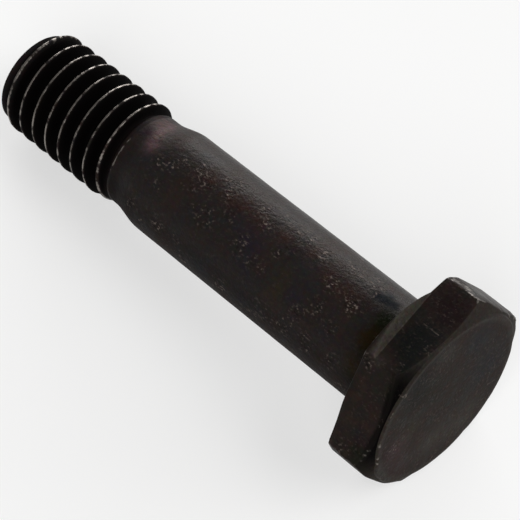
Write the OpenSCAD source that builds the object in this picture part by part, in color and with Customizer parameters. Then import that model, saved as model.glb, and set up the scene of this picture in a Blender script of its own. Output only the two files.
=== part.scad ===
// Sprocket bolt: a hot-forged hexagon head, a full-diameter shank, a turned-down neck and a rolled thread.
// One piece of steel. It lies as it comes to rest, on one flat of its head and on the thread near its point.
// +X runs along the bolt to the head, +Z is up, and the origin is on the floor under the middle of its box.

/* [Shank] */
// Diameter of the plain shank
shank_d = 9.525; // [9:0.025:12]
// Length from the bearing face under the head to the point
length = 43.7; // [36:0.1:80]
// Radius of the fillet between the shank and the bearing face
fillet_r = 0.6; // [0.3:0.05:1.2]

/* [Neck] */
// Diameter of the turned-down blank on which the thread is rolled
blank_d = 8.5; // [8.2:0.05:8.9]
// Length of the cone between the blank and the shank
cone_len = 2.1; // [1.2:0.1:4]
// Length of plain blank between the thread's run-out and the cone
neck_len = 0.95; // [0.2:0.05:2]

/* [Thread] */
// Diameter over the thread crests
thread_d = 9.45; // [9:0.025:9.6]
// Pitch of the right-hand thread
pitch = 1.5875; // [1.25:0.0125:1.75]
// Radial depth from crest to root, as a share of the pitch
depth_share = 0.612; // [0.5:0.002:0.65]
// Angle between the two flanks
flank_angle = 60; // [50:1:62]
// Flat left on the crests, as a share of the pitch
crest_share = 0.125; // [0.08:0.005:0.2]
// Length of the thread, from the point to the end of its run-out
thread_len = 13.5; // [8:0.1:22]
// Length over which the thread rises from the blank at the point
point_len = 0.9; // [0.5:0.05:1.5]
// Length over which the last turn fades back into the blank
runout_len = 0.6; // [0.4:0.1:3]
// Distance from the point at which the first crest crosses the lower side
crest_start = 0.3; // [0.2:0.05:0.6]

/* [Head] */
// Distance across the flats of the hexagon
across_flats = 15.875; // [14:0.125:20]
// Height of the head
head_h = 4; // [3.2:0.05:7]
// How far the edge of the round top face stays inside the flats
face_inset = 0.24; // [0.1:0.01:1.4]
// Height of the steep rim round the top face
rim_h = 0.2; // [0.1:0.02:0.4]
// Slope of that rim, from the plane of the top face
rim_angle = 65; // [45:1:80]
// Slope of the chamfer below the rim, from the plane of the top face
chamfer_angle = 23; // [15:1:40]

/* [Trim ledge] */
// How far the ledge of untrimmed steel stands out from the upper flat
ledge_out = 1; // [0.4:0.05:1.4]
// Width of the ledge along the flat, from one corner of the hexagon
ledge_w = 7.2; // [4:0.1:8]
// Height of the ledge at that corner
ledge_h = 1; // [0.6:0.05:1.5]
// Slope at which the ledge falls away from the flat
ledge_slope = 24; // [10:1:40]
// Slope at which it runs out along the flat
ledge_fall = 6.5; // [3:0.5:12]

/* [Hidden] */
$fn = 96;

// Facets around one turn of the thread
steps = 48;
// Breakpoints in one pitch: two at the crest and two at the root
marks = 4;
// Axial room that each breakpoint keeps where the thread meets the point or the neck
grain = 0.012;
// Step by which the thread's core stays inside the neck
seam = 0.02;
// How deep the thread is let into the neck, and the fillet into the head
let_in = 0.5;
// Room by which a cutting section passes the hexagon's corners
spare = 1;

shank_r = shank_d / 2;
blank_r = blank_d / 2;
core_r = blank_r - seam;
crest_r = thread_d / 2;
thread_depth = depth_share * pitch;
crest_flat = crest_share * pitch;
root_r = crest_r - thread_depth;
flat_r = across_flats / 2;
corner_r = flat_r / cos(30);
side_w = corner_r;
face_r = flat_r - face_inset;
rim_r = face_r + rim_h / tan(rim_angle);
neck_z = thread_len - length;
cone_z = neck_z + neck_len;
shank_z = cone_z + cone_len;

// Ends of the crest flat and of the root flat within one pitch, measured from the middle of a crest
flank_w = thread_depth * tan(flank_angle / 2);
mark_at = [
    -crest_flat / 2,
    crest_flat / 2,
    crest_flat / 2 + flank_w,
    pitch - crest_flat / 2 - flank_w
];
turns = ceil(thread_len / pitch) + 2;
lines = turns * marks;

// The bolt tips down towards its point until a thread crest, or the end of a thick shank, touches the floor
crest_z = crest_start + pitch - crest_flat / 2 - length;
tilt = min(atan((crest_r - flat_r) / crest_z), atan((shank_r - flat_r) / shank_z));
low_x = -length * cos(tilt) - core_r * sin(tilt);
high_x = head_h * cos(tilt) + face_r * sin(tilt);

// Radius of the full thread form at a distance along the pitch from the middle of a crest
function form(along) =
    let (off = abs(along - pitch * round(along / pitch)))
    off < crest_flat / 2 ? crest_r : max(root_r, crest_r - (off - crest_flat / 2) / tan(flank_angle / 2));

// Share of the full thread form that is there at a distance from the point
function share(t) = min(1, max(0, t / point_len), max(0, (thread_len - t) / runout_len));

// Distance from the point of a breakpoint line at one step round the turn, kept inside the thread's length
function line_t(line, step) =
    let (along = crest_start + pitch * (floor(line / marks) - 2 + step / steps) + mark_at[line % marks])
    min(max(along, grain * (line + 1)), thread_len - grain * (lines - line));

// Point of the thread's surface on a breakpoint line at one step round the turn
function thread_point(line, step) =
    let (t = line_t(line, step))
    let (r = core_r + share(t) * (form(t - crest_start - pitch * step / steps) - core_r))
    let (angle = 360 * step / steps)
    [r * cos(angle), r * sin(angle), t];

// Ring of points at one height, closing the thread at its ends
function ring(r, z) = [for (step = [0 : steps - 1]) [r * cos(360 * step / steps), r * sin(360 * step / steps), z]];

// Number of a point in the thread's list: the lines of one step follow each other
function at(line, step) = steps + step * lines + line;

// Turned section of the shank, the cone and the neck
module shank_section() {
    polygon([
        [0, neck_z],
        [blank_r, neck_z],
        [blank_r, cone_z],
        [shank_r, shank_z],
        [shank_r, head_h / 2],
        [0, head_h / 2]
    ]);
}

// Section of the fillet under the head
module fillet_section() {
    difference() {
        translate([shank_r - fillet_r, -fillet_r]) square([2 * fillet_r, fillet_r + let_in]);
        translate([shank_r + fillet_r, -fillet_r]) circle(r = fillet_r);
    }
}

// Rolled thread, with its root and crest growing out of the blank at the point and fading back at the neck
module thread() {
    top = steps + steps * lines;
    points = concat(
        ring(core_r, 0),
        [for (step = [0 : steps - 1]) for (line = [0 : lines - 1]) thread_point(line, step)],
        ring(core_r - seam, thread_len + let_in)
    );
    walls = [
        for (step = [0 : steps - 2])
        for (line = [0 : lines - 2])
        [at(line, step), at(line + 1, step), at(line + 1, step + 1), at(line, step + 1)]
    ];
    seams = [
        for (line = [0 : lines - marks - 2])
        [at(line, steps - 1), at(line + 1, steps - 1), at(line + 1 + marks, 0), at(line + marks, 0)]
    ];
    feet = [for (step = [0 : steps - 2]) [step, at(0, step), at(0, step + 1), step + 1]];
    heads = [
        for (step = [0 : steps - 2])
        [at(lines - 1, step), top + step, top + step + 1, at(lines - 1, step + 1)]
    ];
    first_gap = concat([steps - 1, at(0, steps - 1)], [for (line = [marks : -1 : 0]) at(line, 0)], [0]);
    last_gap = concat(
        [for (line = [lines - 1 - marks : lines - 1]) at(line, steps - 1)],
        [top + steps - 1, top, at(lines - 1, 0)]
    );
    point_face = [for (step = [0 : steps - 1]) step];
    inner_face = [for (step = [steps - 1 : -1 : 0]) top + step];
    polyhedron(points, concat(walls, seams, feet, heads, [first_gap, last_gap, point_face, inner_face]));
}

// Section that the top of the hexagon is cut to: a flat face, a steep rim and a shallow chamfer
module chamfer_section() {
    polygon([
        [0, 0],
        [corner_r + spare, 0],
        [corner_r + spare, head_h - rim_h - (corner_r + spare - rim_r) * tan(chamfer_angle)],
        [rim_r, head_h - rim_h],
        [face_r, head_h],
        [0, head_h]
    ]);
}

// Hexagon with one flat to the floor
module hexagon() {
    intersection() {
        rotate([0, 0, 30]) cylinder(h = head_h, r = corner_r, $fn = 6);
        rotate_extrude() chamfer_section();
    }
}

// Ledge of steel that the trimming die left on the flat opposite the floor, sloping out to a round edge
module trim_ledge() {
    ledge_r = (pow(ledge_w / 2, 2) + pow(ledge_out, 2)) / (2 * ledge_out);
    corner = [-flat_r, -side_w / 2];
    intersection() {
        translate([ledge_r - flat_r - ledge_out, (ledge_w - side_w) / 2, 0]) cylinder(h = head_h / 2, r = ledge_r);
        linear_extrude(head_h / 2) polygon([[0, 0], 2 * [-flat_r, side_w / 2], 2 * corner]);
        translate([corner.x, corner.y, ledge_h])
            rotate([-ledge_fall, -ledge_slope, 0])
                translate([-across_flats, -across_flats, -across_flats]) cube([2, 2, 1] * across_flats);
    }
}

// The whole bolt upright, with the bearing face at height 0 and the head above it
module bolt_upright() {
    rotate_extrude() shank_section();
    rotate_extrude() fillet_section();
    translate([0, 0, -length]) thread();
    hexagon();
    trim_ledge();
}

module bolt() {
    color("#2b2726")
        translate([-(low_x + high_x) / 2, 0, flat_r * cos(tilt)])
            rotate([0, 90 - tilt, 0])
                bolt_upright();
}

bolt();
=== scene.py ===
"""Dresses the sprocket bolt: one forged and rolled steel bolt, blackened, with bright crests and edges.

All sizes of the bolt are in millimetres along its own axis, counted from the point, as in the part's
source. The finished skin is laid down into the shared frame, in metres.
"""

import logging
import math
from collections.abc import Callable
from dataclasses import dataclass, field
from enum import Enum, IntEnum
from functools import partial

import bpy
import numpy as np
from mathutils import Matrix, Vector


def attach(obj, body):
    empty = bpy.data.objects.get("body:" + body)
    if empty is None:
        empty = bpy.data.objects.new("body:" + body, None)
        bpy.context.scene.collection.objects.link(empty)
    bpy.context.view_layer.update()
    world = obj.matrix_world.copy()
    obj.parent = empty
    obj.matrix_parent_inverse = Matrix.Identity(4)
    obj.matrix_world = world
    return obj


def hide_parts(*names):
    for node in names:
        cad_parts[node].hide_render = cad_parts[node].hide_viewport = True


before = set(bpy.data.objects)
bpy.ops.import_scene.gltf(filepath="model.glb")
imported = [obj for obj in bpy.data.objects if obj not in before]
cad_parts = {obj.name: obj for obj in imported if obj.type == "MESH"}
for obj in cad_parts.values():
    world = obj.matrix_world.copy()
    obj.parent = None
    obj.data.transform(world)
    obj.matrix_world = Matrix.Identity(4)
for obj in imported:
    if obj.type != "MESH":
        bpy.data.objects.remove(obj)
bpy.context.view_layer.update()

MM = 0.001
TURN = 2 * math.pi
LOG = logging.getLogger("bolt")

# Where marks lie: the shank's radius, and how far the bearing face and the front are from the point.
ON_SHANK = 4.76
BEARING = 43.7
FRONT = 47.7


def linear(tone: str) -> tuple[float, float, float, float]:
    """Turns an sRGB tone into the linear colour that a shader takes.

    Args:
        tone: The tone as a hex value, such as "#1c1716".

    Returns:
        Red, green, blue and alpha 1.
    """
    parts = [int(tone[i : i + 2], 16) / 255 for i in (1, 3, 5)]
    red, green, blue = (p / 12.92 if p <= 0.04045 else ((p + 0.055) / 1.055) ** 2.4 for p in parts)
    return red, green, blue, 1.0


class Kind(Enum):
    """The kinds of shader node that the finishes are made of."""

    PLACE = "ShaderNodeTexCoord"
    ATTRIBUTE = "ShaderNodeAttribute"
    RAY = "ShaderNodeLightPath"
    NOISE = "ShaderNodeTexNoise"
    RANGE = "ShaderNodeMapRange"
    CLAMP = "ShaderNodeClamp"
    MATH = "ShaderNodeMath"
    VECTOR = "ShaderNodeVectorMath"
    MIX = "ShaderNodeMix"
    BUMP = "ShaderNodeBump"
    PRINCIPLED = "ShaderNodeBsdfPrincipled"
    EMISSION = "ShaderNodeEmission"
    BLEND = "ShaderNodeMixShader"
    OUTPUT = "ShaderNodeOutputMaterial"


Socket = bpy.types.NodeSocket
Adder = Callable[..., bpy.types.NodeOutputs]


def add_node(
    tree: bpy.types.NodeTree, kind: Kind, settings: dict | None = None, links: dict | None = None
) -> bpy.types.NodeOutputs:
    """Adds a node, sets its properties and free inputs, and links the rest of its inputs.

    Args:
        tree: The node tree that gets the node.
        kind: The node's kind.
        settings: Property names, or input names and numbers, with their values.
        links: Input names or numbers, with the output socket that feeds each.

    Returns:
        The new node's outputs.
    """
    node = tree.nodes.new(kind.value)
    for name, value in (settings or {}).items():
        if isinstance(name, int) or name in node.inputs:
            node.inputs[name].default_value = value
        else:
            setattr(node, name, value)
    for name, source in (links or {}).items():
        tree.links.new(source, node.inputs[name])
    return node.outputs


def empty_material(name: str) -> tuple[bpy.types.Material, Adder]:
    """Makes a material without nodes.

    Args:
        name: The material's name.

    Returns:
        The material, and the function that adds a node to it.
    """
    made = bpy.data.materials.new(name)
    made.use_nodes = True
    made.node_tree.nodes.clear()
    return made, partial(add_node, made.node_tree)


def smooth(value: np.ndarray) -> np.ndarray:
    """Eases a share from 0 to 1, held at both ends."""
    share = np.clip(value, 0.0, 1.0)
    return share * share * (3 - 2 * share)


def eased_ramp(value: np.ndarray, reach: float) -> np.ndarray:
    """Gives 0 below zero and the value above it, with the bend rounded over a reach on each side."""
    bend = (value + reach) ** 2 / (4 * reach)
    return np.where(value < -reach, 0.0, np.where(value > reach, value, bend))


@dataclass(frozen=True)
class Band:
    """A stretch round the axis, in degrees, which rises from its start, stays full and falls to its end."""

    start: float
    full_from: float
    full_to: float
    end: float

    def share(self, angle: np.ndarray) -> np.ndarray:
        """Gives how much of the stretch each angle gets, from 0 to 1."""
        degrees = np.degrees(angle)
        rise = smooth((degrees - self.start) / (self.full_from - self.start))
        return rise * smooth((self.end - degrees) / (self.end - self.full_to))


@dataclass(frozen=True)
class Waves:
    """Smooth uneven relief with waves of about one length, the same on every run."""

    length: float
    seed: int
    count: int = 28

    def at(self, points: np.ndarray) -> np.ndarray:
        """Gives the relief at some points.

        Args:
            points: Places in millimetres, one row each.

        Returns:
            One height for each place, about -1 to 1 for most.
        """
        rng = np.random.default_rng(self.seed)
        ways = rng.normal(size=(self.count, 3))
        ways /= np.linalg.norm(ways, axis=1, keepdims=True)
        ways *= TURN / (self.length * rng.uniform(0.7, 1.5, size=(self.count, 1)))
        phases = rng.uniform(0, TURN, self.count)
        return np.sin(points @ ways.T + phases).sum(axis=1) / math.sqrt(self.count)


class Mark(IntEnum):
    """Columns in a table of marks. The mesh carries each as an attribute."""

    WEAR = 0
    GRIME = 1
    SPECKS = 2
    MATT = 3
    PALE = 4

    @property
    def label(self) -> str:
        """Name of the attribute that carries the mark."""
        return self.name.lower()


@dataclass(frozen=True)
class Marks:
    """What forging and use have left on a place.

    The steel is rubbed bare (wear), black with oily dirt and with painted shade (grime), pitted in its
    scale (specks), dull (matt), or grey where the oxide is thin (pale).
    """

    wear: float | np.ndarray = 0.0
    # Oily dirt, and painted shade in hollows and on shaded stretches.
    grime: float | np.ndarray = 0.0
    specks: float | np.ndarray = 0.0
    matt: float | np.ndarray = 0.0
    pale: float | np.ndarray = 0.0

    def table(self, size: int) -> np.ndarray:
        """Gives the marks as one row for each of some points."""
        return np.stack([np.broadcast_to(getattr(self, mark.label), size) for mark in Mark], axis=1)


Row = tuple[np.ndarray, np.ndarray, Marks]


class Tint(Enum):
    """Tones of the oxide where it is thicker, thinner, drier or oilier than the rest. The pale pink also
    stands for painted sheen on the neck, and the ink also for painted shade on the chamfer and beside the
    front's rim.
    """

    RED_BROWN = "#291b18"
    DEEP_RED = "#180f0f"
    BLUE_GREY = "#191d22"
    VIOLET = "#211c25"
    OLIVE = "#28241a"
    MOSS = "#10140a"
    AMBER = "#251a0a"
    PLUM = "#1d0f1a"
    # A pale pink that stands for painted sheen on the neck, over a pink tint.
    ROSE = "#362829"
    BLUSH = "#4c393a"
    GREY = "#322e2a"
    SLATE = "#0d1218"
    # Near black, also used as painted shade on the chamfer and beside the front's rim.
    INK = "#111211"


@dataclass(frozen=True)
class Spot:
    """A round place on the skin: its angle, its radius, its distance from the point and its reach."""

    angle_deg: float
    radius: float
    along: float
    reach: float

    def place(self) -> np.ndarray:
        """Gives the middle of the spot in the bolt's own axes."""
        angle = math.radians(self.angle_deg)
        return np.array([self.radius * math.cos(angle), self.radius * math.sin(angle), self.along])

    def share(self, points: np.ndarray) -> np.ndarray:
        """Gives how much of the spot each point gets, 1 in its middle and fading over its reach."""
        gap = points - self.place()
        return np.exp(-(gap**2).sum(axis=1) / self.reach**2)


@dataclass(frozen=True)
class Stain(Spot):
    """A soft patch of tint in the oxide, dull where it is dry. Pale pink ones paint sheen on the neck, and a
    few ink ones paint shade on the head.
    """

    tint: Tint
    strength: float
    dull: float = 0.0


@dataclass(frozen=True)
class Scar(Spot):
    """A patch of pitted scale, with pale glints and dark pits crowded together, painted as highlight and
    shade.
    """

    strength: float


@dataclass(frozen=True)
class Nick(Spot):
    """A small dent in an edge or a crest, pressed into the bolt and bare at its bottom."""

    depth: float
    wear: float = 0.55


@dataclass(frozen=True)
class Scratch:
    """A straight scratch between two places in the bolt's own axes, bare or dark at its bottom."""

    start: tuple[float, float, float]
    end: tuple[float, float, float]
    bare: bool = True


# Patches of tint: on the neck, along the shank, beside the head, and on the head's flats and front. The pale
# pink ones on the neck are painted sheen over a pink tint, and a few dark ones on the chamfer and by the
# front's rim are painted shade.
STAINS = (
    Stain(175, 4.25, 14.2, 0.6, Tint.PLUM, 1.0, 1.5),
    # Painted sheen with a pink tint, on the neck's upper side.
    Stain(185, 4.52, 15.6, 0.7, Tint.BLUSH, 1.0),
    Stain(158, 4.25, 14.1, 0.6, Tint.BLUSH, 0.3),
    Stain(171, 4.4, 15.1, 0.6, Tint.BLUSH, 0.9),
    Stain(156, 4.32, 14.8, 0.8, Tint.BLUSH, 1.0),
    Stain(145, 4.25, 14.2, 0.9, Tint.BLUSH, 0.7),
    Stain(197, ON_SHANK, 27.6, 1.0, Tint.VIOLET, 0.52),
    Stain(205, ON_SHANK, 28.9, 0.8, Tint.VIOLET, 0.59),
    Stain(217, ON_SHANK, 34.2, 0.7, Tint.VIOLET, 0.52),
    Stain(160, ON_SHANK, 27.8, 0.4, Tint.VIOLET, 0.59),
    Stain(156, ON_SHANK, 19.6, 0.35, Tint.BLUE_GREY, 0.9),
    Stain(168, ON_SHANK, 20.5, 0.35, Tint.VIOLET, 0.59),
    Stain(231, ON_SHANK, 38.7, 0.6, Tint.VIOLET, 0.39),
    Stain(179, ON_SHANK, 24.4, 0.9, Tint.RED_BROWN, 0.9),
    Stain(184, ON_SHANK, 27.7, 0.9, Tint.RED_BROWN, 0.9),
    Stain(177, ON_SHANK, 30.2, 0.8, Tint.RED_BROWN, 0.9),
    Stain(170, ON_SHANK, 33.1, 0.7, Tint.RED_BROWN, 0.9),
    Stain(182, ON_SHANK, 37.5, 1.0, Tint.RED_BROWN, 0.9),
    Stain(178, ON_SHANK, 22.0, 1.0, Tint.RED_BROWN, 0.8),
    Stain(175, ON_SHANK, 26.0, 0.9, Tint.RED_BROWN, 0.8),
    Stain(180, ON_SHANK, 35.3, 0.9, Tint.RED_BROWN, 0.8),
    Stain(183, ON_SHANK, 20.2, 0.9, Tint.DEEP_RED, 0.4),
    Stain(186, ON_SHANK, 25.2, 0.8, Tint.DEEP_RED, 0.4),
    Stain(184, ON_SHANK, 31.9, 0.9, Tint.DEEP_RED, 0.4),
    Stain(179, ON_SHANK, 39.2, 0.8, Tint.DEEP_RED, 0.5),
    Stain(233, ON_SHANK, 35.7, 0.9, Tint.RED_BROWN, 0.39),
    Stain(206, ON_SHANK, 36.5, 1.0, Tint.RED_BROWN, 0.33),
    Stain(205, ON_SHANK, 32.4, 0.8, Tint.OLIVE, 0.8),
    Stain(223, ON_SHANK, 32.6, 0.7, Tint.OLIVE, 0.9),
    Stain(163, ON_SHANK, 40.2, 0.6, Tint.SLATE, 1.0, 2.6),
    Stain(165, ON_SHANK, 39.4, 0.5, Tint.SLATE, 1.0, 2.2),
    Stain(162, ON_SHANK, 40.9, 0.5, Tint.SLATE, 1.0, 2.2),
    Stain(156, ON_SHANK, 40.0, 0.5, Tint.BLUE_GREY, 0.9, 1.0),
    Stain(262, ON_SHANK, 25.0, 1.6, Tint.BLUE_GREY, 0.5),
    Stain(256, ON_SHANK, 30.0, 1.4, Tint.BLUE_GREY, 0.5),
    Stain(179, ON_SHANK, 41.4, 0.8, Tint.MOSS, 1.0),
    Stain(188, ON_SHANK, 42.0, 0.9, Tint.MOSS, 0.9),
    Stain(206, ON_SHANK, 41.3, 0.8, Tint.AMBER, 1.0),
    Stain(199, ON_SHANK, 42.0, 0.8, Tint.AMBER, 0.9),
    Stain(216, ON_SHANK, 42.2, 0.9, Tint.MOSS, 0.8),
    Stain(236, ON_SHANK, 41.5, 0.9, Tint.AMBER, 0.8),
    Stain(246, ON_SHANK, 42.0, 0.8, Tint.MOSS, 0.8),
    Stain(189, 8.0, 45.9, 1.5, Tint.INK, 0.9),
    Stain(197, 8.3, 46.1, 1.3, Tint.INK, 0.8),
    Stain(180, 8.0, 46.3, 1.2, Tint.INK, 0.8),
    Stain(161, 8.4, 45.2, 1.7, Tint.DEEP_RED, 0.9),
    Stain(165, 8.2, 46.6, 1.2, Tint.DEEP_RED, 0.8),
    Stain(205, 8.7, 45.2, 0.8, Tint.RED_BROWN, 0.26),
    # These two darken the chamfer on one side: painted shade.
    Stain(206, 8.6, 47.0, 0.8, Tint.INK, 0.8),
    Stain(218, 8.1, 47.2, 0.9, Tint.MOSS, 0.8),
    Stain(227, 8.0, 47.3, 0.6, Tint.DEEP_RED, 0.9),
    Stain(235, 8.0, 46.2, 0.5, Tint.RED_BROWN, 0.59),
    Stain(241, 8.0, 46.5, 0.5, Tint.RED_BROWN, 0.45),
    Stain(254, 8.2, 46.2, 0.8, Tint.PLUM, 0.4),
    Stain(262, 8.6, 46.3, 0.7, Tint.MOSS, 0.8),
    Stain(270, 9.0, 46.5, 0.7, Tint.MOSS, 0.7),
    Stain(268, 8.5, 47.2, 0.7, Tint.OLIVE, 0.9),
    Stain(209.2, 9.1, 44.9, 0.6, Tint.GREY, 0.7),
    Stain(275, 5.8, FRONT, 1.3, Tint.ROSE, 0.8),
    Stain(300, 6.6, FRONT, 1.4, Tint.ROSE, 0.5),
    Stain(269, 6.9, FRONT, 0.8, Tint.DEEP_RED, 0.9),
    Stain(136, 5.6, FRONT, 1.5, Tint.BLUE_GREY, 0.6),
    Stain(86, 4.6, FRONT, 2.0, Tint.BLUE_GREY, 0.6),
    # These two darken the front beside its left rim: painted shade.
    Stain(205, 6.8, FRONT, 1.3, Tint.INK, 0.65),
    Stain(221, 5.3, FRONT, 1.4, Tint.INK, 0.65),
    Stain(207, 3.6, FRONT, 1.6, Tint.MOSS, 0.35),
    Stain(265, 4.1, FRONT, 1.1, Tint.OLIVE, 0.6),
    Stain(334, 4.4, FRONT, 1.6, Tint.GREY, 0.8),
    Stain(17, 5.4, FRONT, 2.0, Tint.GREY, 0.8),
    Stain(178, 6.4, FRONT, 1.1, Tint.GREY, 0.6),
)


# Patches of pitted scale. Those along the shank have an angle, a distance from the point, a reach and a
# strength, and the head's follow.
SCARS = tuple(
    Scar(angle, ON_SHANK, along, 1.2 * reach, strength)
    for angle, along, reach, strength in (
        (194, 17.3, 0.5, 0.8),
        (189, 18.3, 0.5, 0.9),
        (180, 19.2, 0.55, 1.0),
        (173, 20.0, 0.6, 1.0),
        (178, 21.0, 0.5, 0.9),
        (184, 22.2, 0.55, 1.0),
        (167, 23.6, 0.75, 1.0),
        (179, 24.2, 0.6, 0.8),
        (197, 20.9, 0.45, 0.6),
        (214, 18.5, 0.4, 0.5),
        (209, 23.7, 0.65, 0.8),
        (211, 22.3, 0.4, 0.6),
        (194, 25.6, 0.5, 0.8),
        (251, 20.0, 0.5, 0.8),
        (251, 16.9, 0.5, 0.8),
        (249, 22.0, 0.4, 0.9),
        (209, 27.8, 0.6, 0.9),
        (172, 27.3, 0.75, 1.0),
        (176, 28.2, 0.6, 0.9),
        (157, 29.2, 0.6, 0.9),
        (185, 31.4, 0.4, 0.8),
        (194, 30.9, 0.35, 0.7),
        (214, 29.5, 0.55, 0.8),
        (214, 30.4, 0.4, 0.8),
        (220, 30.7, 0.35, 0.7),
        (161, 31.5, 0.65, 1.0),
        (167, 30.4, 0.5, 0.8),
        (165, 33.6, 0.6, 0.8),
        (176, 33.7, 0.55, 0.9),
        (184, 36.1, 0.6, 0.9),
        (213, 36.1, 0.7, 1.0),
        (190, 38.5, 0.7, 1.0),
        (251, 32.3, 0.7, 0.9),
        (248, 34.5, 0.8, 0.9),
        (228, 35.1, 0.4, 0.8),
        (158, 36.0, 0.6, 0.9),
        (164, 37.2, 0.6, 0.9),
        (156, 38.3, 0.8, 1.0),
        (165, 39.5, 0.5, 0.8),
        (250, 36.9, 0.7, 0.9),
        (221, 38.3, 0.5, 0.5),
        (248, 39.4, 0.6, 0.8),
        (130, 14.2, 0.6, 0.9),
        (166, 14.4, 0.4, 0.7),
    )
) + (
    Scar(212, 8.95, 44.4, 0.6, 0.9),
    Scar(267, 8.9, 45.2, 0.7, 0.9),
    Scar(189, 7.8, 47.2, 0.4, 0.6),
    Scar(205, 8.7, 46.6, 0.35, 0.4),
    Scar(145, 8.8, 45.0, 0.8, 0.6),
    Scar(270, 6.0, FRONT, 0.7, 0.8),
    Scar(345, 6.5, FRONT, 0.6, 0.8),
    Scar(217, 7.4, 47.6, 0.4, 0.8),
)


# Dents, most of them along the head's edges and corners.
NICKS = (
    Nick(144, 8.95, 44.3, 0.22, 0.05),
    Nick(148, 9.1, 44.9, 0.19, 0.05),
    Nick(141, 8.6, 45.7, 0.22, 0.06),
    Nick(131, 8.3, 46.4, 0.22, 0.08, 0.7),
    Nick(125, 8.1, 47.4, 0.25, 0.06, 0.7),
    Nick(112, 8.15, 47.38, 0.25, 0.1, 0.9),
    Nick(101, 8.5, 47.24, 0.26, 0.1, 1.0),
    Nick(96, 8.75, 47.1, 0.25, 0.07, 0.9),
    Nick(138, 8.6, 44.9, 0.3, 0.08, 0.7),
    Nick(104, 8.4, 45.9, 0.3, 0.08, 0.8),
    Nick(90, 9.1, 46.9, 0.6, 0.2, 0.6),
    Nick(269.6, 9.13, 46.5, 0.22, 0.06, 0.6),
    Nick(265.8, 8.81, 46.85, 0.34, 0.05, 0.66),
    Nick(262, 8.51, 47.0, 0.3, 0.05, 0.64),
    Nick(258, 8.28, 47.12, 0.26, 0.05, 0.6),
    Nick(241, 7.94, 47.2, 0.24, 0.06, 0.6),
    Nick(236, 7.96, 47.25, 0.26, 0.06, 0.66),
    Nick(255, 7.65, 47.65, 0.2, 0.05, 0.9),
    Nick(267, 7.68, 47.64, 0.22, 0.06, 0.95),
    Nick(272, 7.75, 47.62, 0.2, 0.05, 0.9),
    Nick(289, 7.95, 47.55, 0.24, 0.06, 0.9),
    Nick(270, 9.12, 43.85, 0.35, 0.1, 0.8),
    Nick(150, 9.12, 43.85, 0.3, 0.08, 0.7),
    Nick(217, 7.6, 47.6, 0.26, 0.05),
    Nick(278, 7.6, 47.6, 0.26, 0.05),
    Nick(250, 7.6, 47.6, 0.19, 0.04, 0.5),
    Nick(210, 9.1, 44.2, 0.3, 0.06, 0.2),
    Nick(270, 9.1, 44.5, 0.38, 0.08, 0.5),
    Nick(270, 9.1, 46.0, 0.22, 0.07, 0.5),
    Nick(330, 9.1, 45.1, 0.3, 0.09, 0.5),
    Nick(30, 9.1, 44.8, 0.22, 0.08, 0.5),
    Nick(30, 9.0, 46.3, 0.3, 0.1, 0.5),
    Nick(88, 9.1, 45.4, 0.3, 0.1, 0.5),
    Nick(318, 7.6, 47.6, 0.22, 0.05, 0.5),
    Nick(15, 7.6, 47.6, 0.3, 0.06, 0.5),
    Nick(60, 7.95, 43.75, 0.26, 0.07, 0.5),
)


# One scratch along the upper flat, and three short ones near the edge of the front.
SCRATCHES = (
    Scratch((-7.94, 0.21, 45.3), (-7.94, 0.21, 46.76)),
    Scratch((0.72, 6.58, FRONT), (0.89, 7.3, FRONT)),
    Scratch((3.54, 4.73, FRONT), (3.86, 5.56, FRONT)),
    Scratch((-2.02, 6.21, FRONT), (-1.49, 6.92, FRONT), bare=False),
)


def unseen_marks(seed: int) -> tuple[tuple[Scar, ...], tuple[Stain, ...]]:
    """Scatters marks like the named ones over the sides that the photograph doesn't show.

    Args:
        seed: The number that fixes the places.

    Returns:
        The scars and the stains.
    """
    draw = np.random.default_rng(seed).uniform
    tints = (Tint.RED_BROWN, Tint.VIOLET, Tint.OLIVE, Tint.BLUE_GREY, Tint.RED_BROWN)
    dark = (Tint.INK, Tint.DEEP_RED, Tint.INK, Tint.MOSS, Tint.RED_BROWN)
    shank_scars, head_scars, side_rounds, face_rounds = 62, 26, 6, 2
    scars, stains = [], []
    for _ in range(shank_scars):
        scars.append(Scar(draw(264, 496), ON_SHANK, draw(16.5, 42.5), draw(0.4, 0.75), draw(0.6, 1.0)))
    for _ in range(head_scars):
        scars.append(Scar(draw(280, 470), draw(7.9, 8.9), draw(44.0, 47.2), draw(0.4, 0.8), draw(0.5, 0.9)))
        scars.append(Scar(draw(0, 360), draw(5.6, 7.8), BEARING, draw(0.4, 0.8), draw(0.5, 0.9)))
    for tint, deep in zip(side_rounds * tints, side_rounds * dark):
        stains.append(Stain(draw(268, 490), ON_SHANK, draw(15.5, 42.0), draw(0.5, 1.2), tint, draw(0.3, 0.7)))
        stains.append(Stain(draw(285, 470), 8.2, draw(44.2, 46.9), draw(0.8, 1.6), deep, draw(0.5, 0.9)))
    for deep in face_rounds * dark:
        stains.append(Stain(draw(0, 360), draw(5.5, 7.5), BEARING, draw(0.6, 1.4), deep, draw(0.4, 0.8)))
    return tuple(scars), tuple(stains)


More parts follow.
